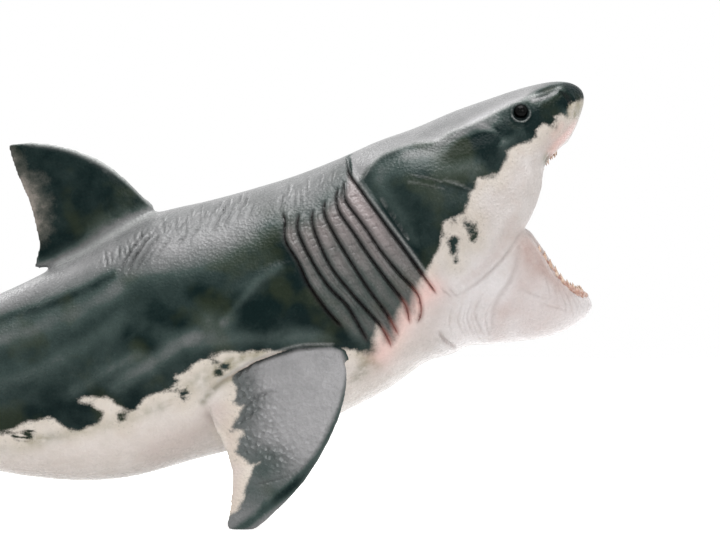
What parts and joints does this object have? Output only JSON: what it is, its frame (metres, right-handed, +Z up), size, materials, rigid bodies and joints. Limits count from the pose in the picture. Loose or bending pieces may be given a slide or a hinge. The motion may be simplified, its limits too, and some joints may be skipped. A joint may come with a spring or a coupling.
{
  "type": "shark figurine",
  "caption": "Great white shark figurine with a wide-open mouth and raised head, moulded whole in painted vinyl, resting on its breast fin tips and lower tail lobe.",
  "frame": {"origin": "centre of the bounding box, on the ground plane that the fin tips and the tail lobe stand on", "axes": "+X from tail to snout, +Z up, the shark's right side faces -Y"},
  "size_m": [0.2994, 0.0746, 0.1176],
  "materials": {
    "painted_skin": "satin hand paint, dark green-grey above and warm white below"
  },
  "bodies": {
    "root": {"shark": "painted_skin"}
  },
  "joints": []
}
